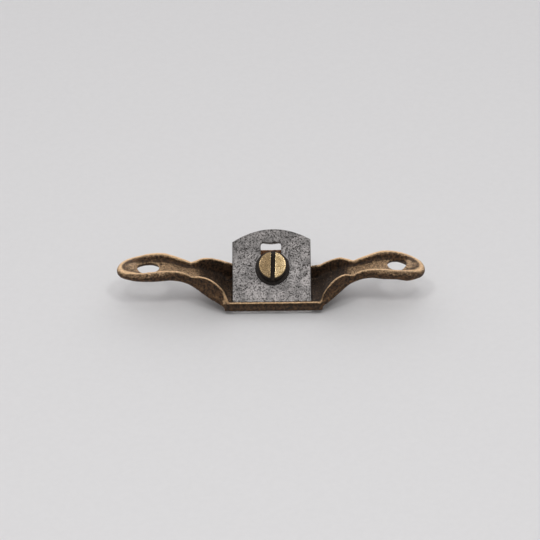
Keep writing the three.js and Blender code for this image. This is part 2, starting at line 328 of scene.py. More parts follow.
# %% Curves along one side
lobe_at = 39.0  # where a handle is widest, and its round end starts
half_width = through([
    [14, sole_half], [17.9, 8.3], [20.5, 7.2], [23, 6.1], [25.2, 5.2], [27.4, 4.85], [29.4, 5.05],
    [32.3, 5.9], [35.5, 6.85], [lobe_at, 7.2],
])
handle_rim = through([
    [24, 10.3], [25.8, 10.4], [27.4, 11.2], [29, 11.9], [32.3, 12.75], [35.6, 13.15], [39, 12.9],
    [43.4, 12.15], [46.8, 11.55], [50, 11],
])
rim_width = through([
    [12, 1.45], [14.5, 1.45], [17.5, 1], [20, 1], [26, 1.4], [30, 1.8], [36, 2.4],
    [lobe_at, 2.5],
])
recess_floor = through([
    [14, floor_top], [17.9, 4.1], [21, 6], [24, 8.3], [27.4, 9.6], [30, 10.4], [34, 11.3],
    [37, 11.4], [43, 10.8], [47, 10.5],
])
rim_drawn_for, floor_drawn_for = 10.25, 10.8  # tip heights that the two curves are drawn for
flange_rise, flange_fullness = 7.4, 0.68
recess_end = (9.5, 4)  # how far before the tip the trough starts to end, and has ended
tip_round = 1.8  # the sections close to their middle height over this length
belly_depth = 0.35  # how far the underside bulges


def casting_at(out, side):
    """The casting's measures at each distance out from the middle, in mm. A flange's crest climbs
    as 1 - (1 - t) squared, to the power of its fullness."""
    plan = half_width(out) * round_end(out, lobe_at, side["tip"])
    rim = handle_rim(out) + (side["tip_height"] - rim_drawn_for) * ease(out, 41, 49)
    under = through([
        [side["sole_end"], 0], [side["sole_end"] + 0.25, pad_step], *side["underside"],
        [lobe_at, 9.65], [44, side["tip_height"] - 1.4], [50, side["tip_height"] - 1.6],
    ])(out)
    rise = np.clip((out - side["flange_foot"]) / flange_rise, 0, 1)
    climb = (1 - (1 - rise) ** 2) ** flange_fullness
    flange = toe_top + (side["flange_crest"] - toe_top) * climb
    near = blend(flange, rim, ease(out, 23, 26))
    far = blend(through(side["far_flange"])(out), rim, ease(out, 24.4, 27))
    floor = recess_floor(out) + (side["tip_height"] - floor_drawn_for) * ease(out, 35, 45)
    return dict(
        plan=plan, near=near, far=far, rim=rim, under=under, floor=floor, out=out,
        middle=(rim + under) / 2,
        belly=belly_depth * ease(out, 16, 22),
        close=round_end(out, side["tip"] - tip_round, side["tip"] + 0.02),
        recess=1 - ease(out, side["tip"] - recess_end[0], side["tip"] - recess_end[1]),
    )


# %% [markdown]
# ## The casting's cross-section
#
# Each section starts under the middle, runs out to the far wall, up it, over its rounded rim, along
# the trough's floor, over the near rim and back down. It has 26 points: twelve for each wall, one
# under the middle and one on the floor. A smooth curve through them rounds the section the way a
# file and long use round a casting, and points close to the sole's corners keep those crisp.

# %% One wall of the section
full_from = 5.5  # half width from which a wall has its full size
foot_bevel, handle_bevel = 0.9, 0.5  # cut off the lower corner past the sole, and more further out
wall_hollow, wall_swell = 0.45, 0.12  # a flange's outside is hollow, and a handle's swells
handle_ridge, flange_ridge = 1.2, 1.0  # height of the widest line above the underside
lip_drop = 0.45


def wall_points(at, top):
    """One wall from its foot to the trough's floor, as (inset, height) columns. Insets are shares
    of the rim's width, and heights lie between the underside, the rim's top and the floor."""
    small = np.minimum(1, at["plan"] / full_from)
    in_flange = 1 - ease(at["out"], 26, 31)
    width = rim_width(at["out"]) * small
    bevel = (foot_bevel * ease(at["out"], 15.4, 19)
             + handle_bevel * ease(at["out"], 27, 33)) * small
    hollow = (wall_hollow * in_flange - wall_swell * (1 - in_flange)) * small
    ridge = at["under"] + blend(handle_ridge, flange_ridge, in_flange)
    lip = top - lip_drop
    recess, floor = at["recess"], at["floor"]
    zero = np.zeros_like(width)
    columns = [
        (bevel + 0.5 * small, at["under"] - 0.08 * at["belly"]),
        (bevel, at["under"]),
        (0.35 * bevel, at["under"] + 0.3 + 0.2 * ease(at["out"], 16, 19)),
        (zero, ridge),
        (hollow, blend(ridge, lip, 0.4)),
        (hollow * 0.8, blend(ridge, lip, 0.75)),
        (0.12 * width, lip),
        (0.34 * width, top - 0.02),
        (0.72 * width, top + 0.08 * (1 - recess)),
        (width, blend(top + 0.12, top - 0.4, recess)),
        (1.25 * width, blend(top + 0.15, floor + 0.3, recess)),
        (1.7 * width, blend(top + 0.18, floor, recess)),
    ]
    return np.stack([np.stack(pair, axis=-1) for pair in columns], axis=1)


# %% A round outline through the points


def round_through(points, steps):
    """A closed curve through each row of points. Every span is a cubic whose end slopes come from
    the chords beside it, weighted by the square root of their lengths, which keeps short spans
    beside long ones from looping."""
    before = np.roll(points, 1, axis=1)
    after = np.roll(points, -1, axis=1)
    beyond = np.roll(points, -2, axis=1)

    def knot(a, b):
        return np.maximum(np.linalg.norm(b - a, axis=-1, keepdims=True), 1e-6) ** 0.5

    k0, k1, k2 = knot(before, points), knot(points, after), knot(after, beyond)
    start = ((points - before) / k0 - (after - before) / (k0 + k1) + (after - points) / k1) * k1
    end = ((after - points) / k1 - (beyond - points) / (k1 + k2) + (beyond - after) / k2) * k1
    t = np.linspace(0, 1, steps, endpoint=False)[None, None, :, None]
    p0, p1, m0, m1 = (value[:, :, None, :] for value in (points, after, start, end))
    curve = ((2 * t**3 - 3 * t**2 + 1) * p0 + (t**3 - 2 * t**2 + t) * m0
             + (3 * t**2 - 2 * t**3) * p1 + (t**3 - t**2) * m1)
    return curve.reshape(len(points), -1, 2)


# %% Loft the casting


def casting_rings(out, side, steps=5):
    """The closed sections at each distance out, as rings of points in the frame."""
    at = casting_at(out, side)
    far = wall_points(at, at["far"])
    near = wall_points(at, at["near"])
    far[:, :, 0] = at["plan"][:, None] - far[:, :, 0]
    near[:, :, 0] -= at["plan"][:, None]
    bottom = np.stack([np.zeros_like(out), at["under"] - at["belly"]], axis=-1)[:, None, :]
    floor = blend(at["rim"] + 0.22, at["floor"] - 0.1, at["recess"])
    middle = np.stack([np.zeros_like(out), floor], axis=-1)[:, None, :]
    outline = round_through(np.concatenate([bottom, far, middle, near[:, ::-1]], axis=1), steps)
    y = outline[..., 0]
    z = blend(at["middle"][:, None], outline[..., 1], at["close"][:, None])
    return np.stack([np.broadcast_to(side["sign"] * out[:, None], y.shape), y, z], axis=-1)


def places_along(side):
    """Where the sections stand: even over the sole, and close together at its end and at the tip.
    Towards the tip they follow the sine of nearly a quarter turn, and the last stands just short
    of it."""
    edge = side["sole_end"]
    inner = np.linspace(0.4, edge - 0.3, 34)
    step = edge + np.array([-0.15, -0.05, 0.0, 0.06, 0.12, 0.18, 0.25, 0.35, 0.5])
    outer = np.linspace(edge + 0.8, lobe_at, 66)
    angle = np.linspace(0, 1, 40)[1:] * 12 / 12.4 * np.pi / 2
    return np.concatenate([inner, step, outer, lobe_at + (side["tip"] - lobe_at) * np.sin(angle)])


rings = np.concatenate([
    casting_rings(places_along(LEFT), LEFT)[::-1],
    casting_rings(np.zeros(1), RIGHT),
    casting_rings(places_along(RIGHT), RIGHT),
])
casting = put_rings("spokeshave_casting", rings)
print("casting loft:", rings.shape, "points")

# %% [markdown]
# ## Bed, lug, boss, webs and holes
#
# Behind the cutter stands the bed: a sloping plate with a narrower lug that reaches up behind the
# screw, a round boss that carries the thread, and a web at each side. The mouth is cut through the
# sole in front of it, and each handle has an oval hole to hang it by. They are plain solids here,
# joined and cut with Booleans, because every seam between them is softened in the next step.

# %% Join the bed, lug, boss and webs
bed_plane = -cutter_thick - seat_gap
bed_thick, bed_half, bed_foot, bed_top, bed_corner = 3.0, 12.4, 0.2, 12.4, 1.2
lug_half, lug_foot, lug_top, lug_corner, lug_crown = 6.3, 6, 19.6, 2, 0.3
boss_radius, boss_reach = 4.6, 4.15
web_thick = 2
web_outline = [[0, 0.4], [8.2, 0.4], [8.2, 5.2], [5.2, 5.2]]


def rounded_top(half, low, high, corner, crown, count=12):
    """An upright plate's outline: square at the foot, round corners and a slightly crowned top."""
    turn = np.linspace(0, np.pi / 2, count)
    right = np.stack([half - corner + corner * np.cos(turn), high - corner + corner * np.sin(turn)],
                     axis=1)
    left = right[::-1] * [-1, 1]
    top = np.concatenate([right, left])
    top[:, 1] -= crown * (top[:, 0] / half) ** 2 - crown
    return [[-half, low], [half, low], *top.tolist()]


bed_outline = rounded_top(bed_half, bed_foot, bed_top, bed_corner, 0)
lug_outline = rounded_top(lug_half, lug_foot, lug_top - lug_crown, lug_corner, lug_crown)
for name, outline in (("bed", bed_outline), ("lug", lug_outline)):
    plate = prism_on_bed(name, outline, bed_plane - bed_thick, bed_plane)
    cut_or_join(casting, plate, "UNION")
boss = disc_on_bed("boss", boss_radius, bed_plane - boss_reach, bed_plane - 1)
cut_or_join(casting, boss, "UNION")
for web_left in (-bed_half, bed_half - web_thick):
    web = prism_along_x("web", web_outline, web_left, web_left + web_thick)
    cut_or_join(casting, web, "UNION")
print("casting joined:", len(casting.data.vertices), "points")

# %% Cut the mouth, the sole's plane and the tapped hole
mouth_front, mouth_half = -7.5, 12.95
throat_foot, throat_top = -1.5, 6
hole_radius = 2.52
bed_at_sole = face_at_sole + (cutter_thick + seat_gap) / math.sin(bed_angle)
bed_run = 1 / math.tan(bed_angle)
throat_outline = [
    [mouth_front, throat_foot],
    [bed_at_sole + throat_foot * bed_run, throat_foot],
    [bed_at_sole + throat_top * bed_run, throat_top],
    [mouth_front, throat_top],
]
below_sole = [[-30, -20], [30, -20], [30, 0], [-30, 0]]
for tool in (
    prism_along_x("throat", throat_outline, cutter_middle - mouth_half,
                  cutter_middle + mouth_half),
    prism_along_x("under_sole", below_sole, -60, 60),
    disc_on_bed("tapped_hole", hole_radius, bed_plane - 6, bed_plane + 1),
):
    cut_or_join(casting, tool, "DIFFERENCE")

# %% Cut the hang holes


def hang_hole(side, draft=0.7, reach=4.0):
    """An oval plug: straight above the trough's floor, and wider by the draft for each mm below
    it, as a cored hole is."""
    x, y, floor_at, radius_x, radius_y = side["hang_hole"]
    turn = np.linspace(0, 2 * np.pi, 72, endpoint=False)[None, :]
    rise = np.array([-reach, 0, reach])[:, None]
    wide = 1 - draft * np.minimum(rise, 0) / radius_x
    px = x + radius_x * wide * np.cos(turn)
    py = y + radius_y * wide * np.sin(turn)
    return put_rings("hang_hole", np.stack([px, py, floor_at + rise + 0 * turn], axis=-1))


for side in (LEFT, RIGHT):
    cut_or_join(casting, hang_hole(side), "DIFFERENCE")
print("casting cut:", len(casting.data.vertices), "points")

# %% [markdown]
# ## Softening the seams and roughening the skin
#
# Sand casting leaves a fillet in every inside corner and a fine grain all over. A voxel remesh
# rebuilds the surface as even small squares, and a few rounds of averaging then melt the seams into
# fillets. The grain is real relief: fine noise moves each point along its normal, more inside the
# troughs, which nothing rubs, than on the rims. A Displace modifier could do this too, but arrays
# let the same places drive the colours later. Two low nubs stand where the sand mould had crumbled.

# %% Remesh and soften
skin_step = 0.2
finish_with(casting, "REMESH", mode="VOXEL", voxel_size=skin_step * MM, use_smooth_shade=True)
print("casting remeshed:", len(casting.data.vertices), "points")


def soften(piece, rounds):
    """Each round moves every point 0.55 of the way to its neighbours' mean, and then away from
    their new mean by half its distance, so corners round off but nothing shrinks. Two plain
    rounds end it."""
    mesh = piece.data
    points, edges = points_of(mesh), edges_of(mesh)
    for _ in range(rounds):
        points = averaged(points, edges, 1, 0.55)
        points = averaged(points, edges, 1, -0.5)
    points = averaged(points, edges, 2, 0.5)
    move_points(mesh, points)


soften(casting, 5)
print("casting softened, mm high:", np.ptp(points_of(casting.data)[:, 2]).round(2))

# %% Places on the casting


def inset_of(points):
    """How far each point lies inside the plan's outline, in mm. Along the sides it is measured
    straight across. Over a handle's end, which is half an ellipse, it is 1 less the ellipse's own
    radius at the point, divided by how fast that radius grows there."""
    out, y = np.abs(points[:, 0]), np.abs(points[:, 1])
    long = np.where(points[:, 0] < 0, LEFT["tip"], RIGHT["tip"]) - lobe_at
    short = half_width(lobe_at)
    along = np.maximum(out - lobe_at, 0)
    radius = np.maximum(np.hypot(y / short, along / long), 1e-3)
    growth = np.maximum(np.hypot(y / short**2, along / long**2) / radius, 1 / long)
    return np.where(out > lobe_at, (1 - radius) / growth, half_width(out) - y)


def inside_trough(points):
    """1 well inside the trough, 0 at the rims and outside."""
    width = rim_width(np.abs(points[:, 0]))
    return ease(inset_of(points), 0.8 * width, 1.7 * width)


# %% Grain of the sand casting


def relief_of(points, layers):
    """The sum of layers of grain, each given as (height in mm, size in mm, seed)."""
    return sum(height * grain(points, size, seed) for height, size, seed in layers)


def pits_of(points, depth, size, seed, above):
    """Small pits: depth times how far the grain rises above a threshold, taken inwards."""
    return -depth * np.clip(grain(points, size, seed) - above, 0, 1)


points, normals = points_of(casting.data), normals_of(casting.data)
skin = relief_of(points, [(0.045, 2.4, 1), (0.035, 0.95, 2), (0.045, 0.45, 3)])
skin = skin + pits_of(points, 0.11, 0.6, 4, above=0.4)
skin = skin * blend(0.8, 1.25, inside_trough(points))
move_points(casting.data, points + normals * skin[:, None])
print("casting's grain, mm:", skin.min().round(3), "to", skin.max().round(3))

# %% Two casting nubs
nubs = [([-14.5, 7.8, 2.0], 1.3, 0.5), ([17.7, 3.3, 4.2], 1.2, 0.5)]  # centre, radius, height
most_triangles = 190000


def nub_height(points, centre, radius, height):
    """A low round nub: height times the square of 1 - (distance / radius) squared."""
    far = np.linalg.norm(points - centre, axis=1) / radius
    return height * np.clip(1 - far**2, 0, 1) ** 2


points, normals = points_of(casting.data), normals_of(casting.data)
lift = sum(nub_height(points, *nub) for nub in nubs)
move_points(casting.data, points + normals * lift[:, None])
triangles = 2 * len(casting.data.polygons)
finish_with(casting, "DECIMATE", ratio=min(1, most_triangles / triangles))
print("casting finished:", len(casting.data.polygons), "faces")

# %% [markdown]
# ## Where the bronze is rubbed and where it is dark
#
# Handling keeps the rims bright, and the hollows stay brown-black. Blender's Pointiness could show
# this, but it only renders in one engine and changes with the mesh. Here each point is compared
# with the surface averaged around it: a point that stands out is rubbed, and one that lies deep is
# dirty. The rest goes by place. A bright line runs along the crest of each rim, partly rubbed
# bronze and partly a painted highlight where the crest faces up, and a painted highlight runs along
# the toe bar's top edge. The walls under the rims are duller bronze with painted shade, the trough
# floors that face up get painted light, and the channel beside the cutter, where no finger reaches,
# is dark with soot and painted shade. Damp from the steel has left rust on the lug. Each mask is
# one number per point, kept on the mesh.

# %% Wear and dirt by height


def standing_out(points, normals, edges, rounds):
    """How far each point stands out from its averaged surroundings, along its normal, in mm."""
    around = averaged(points, edges, rounds, 0.6)
    return ((points - around) * normals).sum(axis=1)


points, normals, edges = points_of(casting.data), normals_of(casting.data), edges_of(casting.data)
close_by = standing_out(points, normals, edges, 6)
wider = standing_out(points, normals, edges, 40)
edge_wear = ease(wider, 0.05, 0.3) + 0.5 * ease(close_by, 0.02, 0.08)
dirt = ease(-wider, 0.03, 0.28) + 0.6 * ease(-close_by, 0.015, 0.06)
print("rubbed share:", round(float((edge_wear > 0.5).mean()), 3))

# %% Crest of the rims and the toe bar
out, y = np.abs(points[:, 0]), points[:, 1]
facing_up = normals[:, 2]
toe_highlight_at, toe_highlight_above = -8.55, 2.3  # the toe bar's bright line: its Y, and its lowest Z
inset = inset_of(points)
front = ease(-y, 0, 2) * (1 - ease(out, 43, 48))
crest = blend(0.42, 0.66, front) * rim_width(out)
rim = 1 - ease(np.abs(inset - crest), 0.1, blend(1.2, 0.62, front))
# painted highlight, partly wear: the crest is bright only where it faces up
handle_crest_wear_and_highlight = rim * ease(facing_up, 0.05, 0.5) * ease(out, 14.5, 15.5)
toe = ease(-y, 7.2, 7.6) * (1 - ease(out, 15.6, 16.4))
# painted highlight along the toe bar's top edge
toe_top_highlight = 1 - ease(np.abs(y - toe_highlight_at), 0.1, 0.35)
toe_top_highlight = toe_top_highlight * ease(points[:, 2], toe_highlight_above, toe_highlight_above + 0.3)
rim = np.maximum(handle_crest_wear_and_highlight, toe * toe_top_highlight)
print("crest share:", round(float((rim > 0.5).mean()), 3))

# %% Walls, channel and lug
trough = inside_trough(points)
left_channel = 0.62  # the left channel is less dark than the right one
# soot and painted shade: the channel beside the cutter is darkened
channel_soot_and_shade = trough * (1 - ease(out, 21, 26)) * np.where(points[:, 0] < 0, left_channel, 1)
# painted shade, partly duller bronze: walls that face sideways and the far wall's inside get less
# tan
wall = (1 - trough) * (1 - handle_crest_wear_and_highlight) * (1 - ease(facing_up, 0.3, 0.8))
wall = wall * ease(facing_up, -0.75, -0.3)
far_wall = ease(y, 0, 2) * ease(inset / rim_width(out), 0.85, 1.1)
far_wall = far_wall * (1 - ease(inset / rim_width(out), 1.35, 1.8))
up_the_bed = (points - [0, face_at_sole, 0]) @ up_bed
lug = ease(up_the_bed, 15.5, 16.5) * ease(normals @ off_bed, 0.3, 0.8)
lug = lug * (1 - ease(out, 6, 7.5))

# %% Keep the masks on the casting
rubbed = edge_wear * (1 - 0.75 * toe) * (1 - 0.5 * wall)
for name, values in (
    ("rubbed", averaged(rubbed, edges, 1)),
    ("rim", averaged(rim, edges, 1)),
    ("wall", averaged(np.maximum(wall, far_wall), edges, 2)),
    ("dirty", averaged(dirt, edges, 2)),
    ("channel_soot_and_shade", channel_soot_and_shade),
    # painted light: trough floors that face up are kept for more tan
    ("trough", trough * np.clip(facing_up, 0, 1)),
    ("toe", toe),
    ("lug", lug),
):
    store(casting.data, name, values)
print("masks kept:", [kept.name for kept in casting.data.attributes if kept.domain == "POINT"])

# %% [markdown]
# ## The cutter
#
# A plate 2 mm thick with straight sides, an arched top and a slot for the screw. It could be an
# extruded outline, but its edges would then be razor sharp and its faces one flat sheet. Instead
# rings run from the slot's edge out over the front face, round the rim and back under the plate to
# the slot, so every edge has a small worn radius, and the front can carry shallow dents. The
# cutting edge is ground on the back, as on the real cutter.

# %% Cutter outline
cutter_half = (blade_high[0] - blade_low[0]) / 2
cutter_foot, edge_bow = -2.05, 0.2
shoulders, apex = (21.7, 22.4), 25.9


def bow(start, control, end, count):
    """A plain curve from start to end, pulled towards one control point."""
    t = np.linspace(0, 1, count, endpoint=False)[:, None]
    start, control, end = map(np.array, (start, control, end))
    return (1 - t) ** 2 * start + 2 * t * (1 - t) * control + t * t * end


# corners as [u, s]: the bowed cutting edge, a straight side, the arched top, a straight side
edge_left, edge_right = cutter_middle - cutter_half, cutter_middle + cutter_half
corner_foot = cutter_foot + edge_bow
foot_left, foot_right = [edge_left, corner_foot], [edge_right, corner_foot]
top_left, top_right = [edge_left, shoulders[0]], [edge_right, shoulders[1]]
arch_pull = 2 * apex - sum(shoulders) / 2
cutter_outline = np.concatenate([
    bow(foot_left, [cutter_middle, cutter_foot - edge_bow], foot_right, 400),
    bow(foot_right, [edge_right, 10], top_right, 400),
    bow(top_right, [cutter_middle, arch_pull], top_left, 400),
    bow(top_left, [edge_left, 10], foot_left, 400),
])
print("cutter, mm wide:", round(2 * cutter_half, 2))

# %% Slot outline: a round foot, two straight sides and a slightly sagging top
slot_half, slot_shift, slot_span = 3.3, -0.44, (8.0, 21.5)
slot_corner, slot_sag = 0.9, 0.5
slot_centre = np.array([slot_shift, sum(slot_span) / 2])
low, high = slot_span
left, right = slot_shift - slot_half, slot_shift + slot_half
turn = np.linspace(np.pi, 2 * np.pi, 120)
round_foot = np.stack([slot_shift + slot_half * np.cos(turn),
                       low + slot_half + slot_half * np.sin(turn)], axis=1)
slot_outline = np.concatenate([
    round_foot,
    bow([right, low + slot_half], [right, 14], [right, high - slot_corner], 80),
    bow([right, high - slot_corner], [right, high], [right - slot_corner, high], 30),
    bow([right - slot_corner, high], [slot_shift, high - slot_sag], [left + slot_corner, high], 60),
    bow([left + slot_corner, high], [left, high], [left, high - slot_corner], 30),
    bow([left, high - slot_corner], [left, 14], [left, low + slot_half], 80),
])
print("slot, mm:", 2 * slot_half, "wide,", high - low, "long")

# %% Both outlines seen from the slot's middle


def seen_from(centre, outline, turn):
    """The outline's distance from centre in each direction: its own points' directions and
    distances, read between where needed."""
    arm = outline - centre
    angle = np.unwrap(np.arctan2(arm[:, 1], arm[:, 0]))
    order = np.argsort(angle % (2 * np.pi))
    return np.interp(turn, (angle % (2 * np.pi))[order], np.hypot(*arm.T)[order],
                     period=2 * np.pi)


# each corner of the cutter gets a direction of its own, so that it stays sharp
turn = np.linspace(0, 2 * np.pi, 640, endpoint=False)
corners = np.array([foot_left, foot_right, top_right, top_left]) - slot_centre
for corner_turn in np.arctan2(corners[:, 1], corners[:, 0]) % (2 * np.pi):
    turn[np.argmin(np.abs(turn - corner_turn))] = corner_turn
outer_reach = seen_from(slot_centre, cutter_outline, turn)
slot_reach = seen_from(slot_centre, slot_outline, turn)

# %% Rings over the cutter
bevel_rise, bevel_run = 1.85, 4.2  # the grind takes this much thickness off over this length
edge_thick = 0.12

# each ring: share of the way from slot to rim, distance kept back from that edge, height n
inner_edge = [(0, 0.0, -0.22), (0, 0.05, -0.09), (0, 0.16, -0.01)]
front = [(share, 0, 0.0) for share in np.linspace(0.02, 0.985, 56)]
outer_edge = [(1, 0.16, -0.01), (1, 0.05, -0.08), (1, 0.0, -0.2)]
back_edge = [(1, 0.0, -1.82), (1, 0.06, -1.94), (1, 0.18, -2.0)]
back = [(share, 0, -2.0) for share in np.linspace(0.985, 0.02, 24)]
slot_back = [(0, 0.16, -2.0), (0, 0.05, -1.94), (0, 0.0, -1.8)]
share, keep, height = np.array(inner_edge + front + outer_edge + back_edge + back + slot_back).T
reach = blend(slot_reach[None, :], outer_reach[None, :], share[:, None])
reach = reach + keep[:, None] * np.where(share == 0, 1, -1)[:, None]
u = slot_centre[0] + reach * np.cos(turn)
s = slot_centre[1] + reach * np.sin(turn)
n = np.broadcast_to(height[:, None], u.shape)
grind = -cutter_thick + (cutter_foot + bevel_run - s) * bevel_rise / bevel_run
n = np.where(n < -1, np.maximum(n, np.minimum(grind, -edge_thick)), n)
cutter = put_rings("cutter_iron", on_bed(u, s, n)[:, ::-1], closed=True)
print("cutter:", len(cutter.data.polygons), "faces")

# %% Dents and pits in the cutter
points, normals = points_of(cutter.data), normals_of(cutter.data)
dents = relief_of(points, [(0.012, 1.1, 11), (0.008, 0.5, 12)])
dents = dents + pits_of(points, 0.05, 0.55, 13, above=0.5)
move_points(cutter.data, points + normals * dents[:, None])
edges = edges_of(cutter.data)
store(cutter.data, "rubbed", ease(standing_out(points, normals, edges, 8), 0.02, 0.12))
print("cutter's dents, mm:", dents.min().round(3), "to", dents.max().round(3))

# %% [markdown]
# ## The clamp screw
#
# A cheese-head screw with a straight slot. It is turned: one profile swept round its axis. The
# thread is cut into the same surface by letting the radius rise and fall with height and turn
# together, one rise for each 0.8 mm of pitch, so it is a true helix and not stacked rings. The slot
# is cut out with a block, and a fine remesh breaks its edges.

# %% Turn the screw
head_radius, head_height, washer_thick = 4.5, 3.8, 0.8
head_foot = washer_thick + 2 * seat_gap
head_top = head_foot + head_height
shank_radius, shank_reach = 2.4, 7.8
pitch, thread_depth, point_taper = 0.8, 0.42, 0.55
shank_end = head_foot - shank_reach
turn = np.linspace(0, 2 * np.pi, 128, endpoint=False)[None, :]
# the profile as [radius, height]: the shank's tip, the shank, then round the head to its top
profile = np.concatenate([
    [[0.05, shank_end], [1.2, shank_end], [1.75, shank_end]],
    np.stack([np.full(150, shank_radius), np.linspace(shank_end + 0.3, head_foot - 0.4, 150)], 1),
    [[shank_radius, head_foot], [head_radius - 0.2, head_foot], [head_radius, head_foot + 0.15],
     [head_radius, head_foot + 1.2], [head_radius, head_top - 1.2],
     [head_radius, head_top - 0.3], [head_radius - 0.08, head_top - 0.12],
     [head_radius - 0.28, head_top - 0.02], [3.2, head_top], [0.05, head_top]],
])
radius, height = profile[:, :1], profile[:, 1:]
on_shank = radius == shank_radius
wave = np.abs(((height / pitch - turn / (2 * np.pi)) % 1) * 2 - 1)
threaded = on_shank * ease(height, shank_end, shank_end + pitch)
threaded = threaded * (1 - ease(height, head_foot - 2 * pitch, head_foot - 1.0))
taper = point_taper * on_shank * (1 - ease(height, shank_end, shank_end + 1.0))
radius = radius - thread_depth * (1 - wave) * threaded - taper
rings = on_bed(radius * np.cos(turn), screw_seat + radius * np.sin(turn), height + 0 * turn)
screw = put_rings("clamp_screw_brass", rings)
print("screw turned:", rings.shape, "points,", round(float(shank_end), 2), "to", head_top, "mm")

# %% Cut its slot and break the edges
slot_turn, slot_width, slot_depth, slot_off = math.radians(-2.2), 1.4, 2.4, 0.15
screw_step = 0.085
along = np.array([-math.sin(slot_turn), math.cos(slot_turn)])
beside = np.array([along[1], -along[0]])
middle = np.array([slot_off, screw_seat])
block = [middle + a * slot_width / 2 * beside + b * 8 * along
         for a, b in ((-1, -1), (1, -1), (1, 1), (-1, 1))]
cut_or_join(screw, prism_on_bed("slot", block, head_top - slot_depth, head_top + 2), "DIFFERENCE")
finish_with(screw, "REMESH", mode="VOXEL", voxel_size=screw_step * MM, use_smooth_shade=True)
soften(screw, 3)
points, normals, edges = points_of(screw.data), normals_of(screw.data), edges_of(screw.data)
height = (points - [0, face_at_sole, 0]) @ off_bed
facing = normals @ off_bed
face = ease(facing, 0.75, 0.95) * ease(height, head_top - 0.5, head_top - 0.25)
store(screw.data, "face", face)
store(screw.data, "rubbed", ease(standing_out(points, normals, edges, 10), 0.01, 0.06))
print("screw:", len(screw.data.polygons), "faces")

# %% [markdown]
# ## The washer
#
# A plain ring of steel under the head, black with old oil. It is one small rounded section carried
# round the screw's axis.

# %% Washer
washer_radius, washer_hole, corner = 5.55, 2.6, 0.2
outer, inner = washer_radius - corner, washer_hole + corner
low, high = seat_gap + corner, seat_gap + washer_thick - corner
# the section is four quarter rounds, one at each corner
section = []
for radius, height, start in ((outer, low, -90), (outer, high, 0), (inner, high, 90),
                              (inner, low, 180)):
    angle = np.radians(start + np.linspace(0, 90, 6))
    section.append(np.stack([radius + corner * np.cos(angle), height + corner * np.sin(angle)], 1))
section = np.concatenate(section)
radius, height = section[:, 0][None, :], section[:, 1][None, :]
turn = np.linspace(0, 2 * np.pi, 128, endpoint=False)[:, None]
rings = on_bed(radius * np.cos(turn), screw_seat + radius * np.sin(turn), height + 0 * turn)
washer = put_rings("washer_dark", rings[::-1], closed=True)
print("washer:", len(washer.data.polygons), "faces")

# %% [markdown]
# ## Finishes
#
# A finish is a small tree of nodes. Each starts from one colour and lays others over it, and the
# share of each layer is a mask kept on the mesh, broken up with noise. All the noise reads Object
# coordinates, so a pattern stays on its piece when it moves. The colours could be painted by hand
# on an unwrapped surface, but that leaves seams, and the masks already know where hands reach.

# %% Node helpers


def node(tree, kind, inputs=None, **settings):
    """One node, with its settings, and its inputs given as numbers or as other nodes' outputs."""
    made = tree.nodes.new("ShaderNode" + kind)
    for key, value in settings.items():
        setattr(made, key, value)
    for key, value in (inputs or {}).items():
        if isinstance(value, bpy.types.NodeSocket):
            tree.links.new(value, made.inputs[key])
        else:
            made.inputs[key].default_value = value
    return made


def finish_tree(name):
    """A new material's tree, its shader, and Object coordinates in mm."""
    material = bpy.data.materials.new(name)
    material.use_nodes = True
    tree = material.node_tree
    shader = tree.nodes["Principled BSDF"]
    place = node(tree, "TexCoord").outputs["Object"]
    in_mm = node(tree, "VectorMath", {0: place, 3: 1 / MM}, operation="SCALE").outputs[0]
    return material, tree, shader, in_mm


def speckle(tree, place, per_mm, detail=4.0, rough=0.6, low=0.4, high=0.6, distortion=0.0):
    """Noise of the given size, stretched so that low becomes 0 and high becomes 1."""
    noise = node(tree, "TexNoise", {
        "Vector": place, "Scale": per_mm, "Detail": detail, "Roughness": rough,
        "Distortion": distortion,
    })
    return node(tree, "MapRange", {
        0: noise.outputs[0], 1: low, 2: high, 3: 0.0, 4: 1.0,
    }, clamp=True).outputs[0]


def mixed(tree, share, a, b):
    """Colour a where share is 0, and b where it is 1."""
    made = node(tree, "Mix", {0: share}, data_type="RGBA")
    for key, value in ((6, a), (7, b)):
        if isinstance(value, bpy.types.NodeSocket):
            tree.links.new(value, made.inputs[key])
        else:
            made.inputs[key].default_value = (*value, 1)
    return made.outputs[2]


# %% Sums with masks


def sum_of(tree, operation, a, b):
    """One calculation on two numbers, kept between 0 and 1."""
    return node(tree, "Math", {0: a, 1: b}, operation=operation, use_clamp=True).outputs[0]


def times(tree, a, b):
    """a times b."""
    return sum_of(tree, "MULTIPLY", a, b)


def plus(tree, a, b):
    """a plus b."""
    return sum_of(tree, "ADD", a, b)


def minus(tree, a, b):
    """a minus b."""
    return sum_of(tree, "SUBTRACT", a, b)


def larger(tree, a, b):
    """The larger of a and b."""
    return sum_of(tree, "MAXIMUM", a, b)


def ramp(tree, value, start, end, low, high):
    """low where value is start, high where it is end, straight between and flat beyond."""
    return node(tree, "MapRange", {0: value, 1: start, 2: end, 3: low, 4: high}).outputs[0]


def along_axis(tree, place, axis):
    """One coordinate of a place: 0 for X, 1 for Y, 2 for Z."""
    return node(tree, "SeparateXYZ", {0: place}).outputs[axis]


def mask(tree, name):
    """A number kept on the mesh."""
    return node(tree, "Attribute", attribute_name=name).outputs["Fac"]


def bumped(tree, shader, layers):
    """Fine relief for the shader: each layer is (height socket, strength, distance in mm)."""
    normal = None
    for height, strength, distance in layers:
        made = node(tree, "Bump", {"Height": height, "Strength": strength,
                                   "Distance": distance * MM})
        if normal is not None:
            tree.links.new(normal, made.inputs["Normal"])
        normal = made.outputs[0]
    tree.links.new(normal, shader.inputs["Normal"])


def finish_piece(piece, material):
    """Gives the whole piece one finish, and smooth shading."""
    mesh = piece.data
    mesh.materials.clear()
    mesh.materials.append(material)
    mesh.polygons.foreach_set("material_index", np.zeros(len(mesh.polygons), np.int32))
    mesh.polygons.foreach_set("use_smooth", np.ones(len(mesh.polygons), bool))
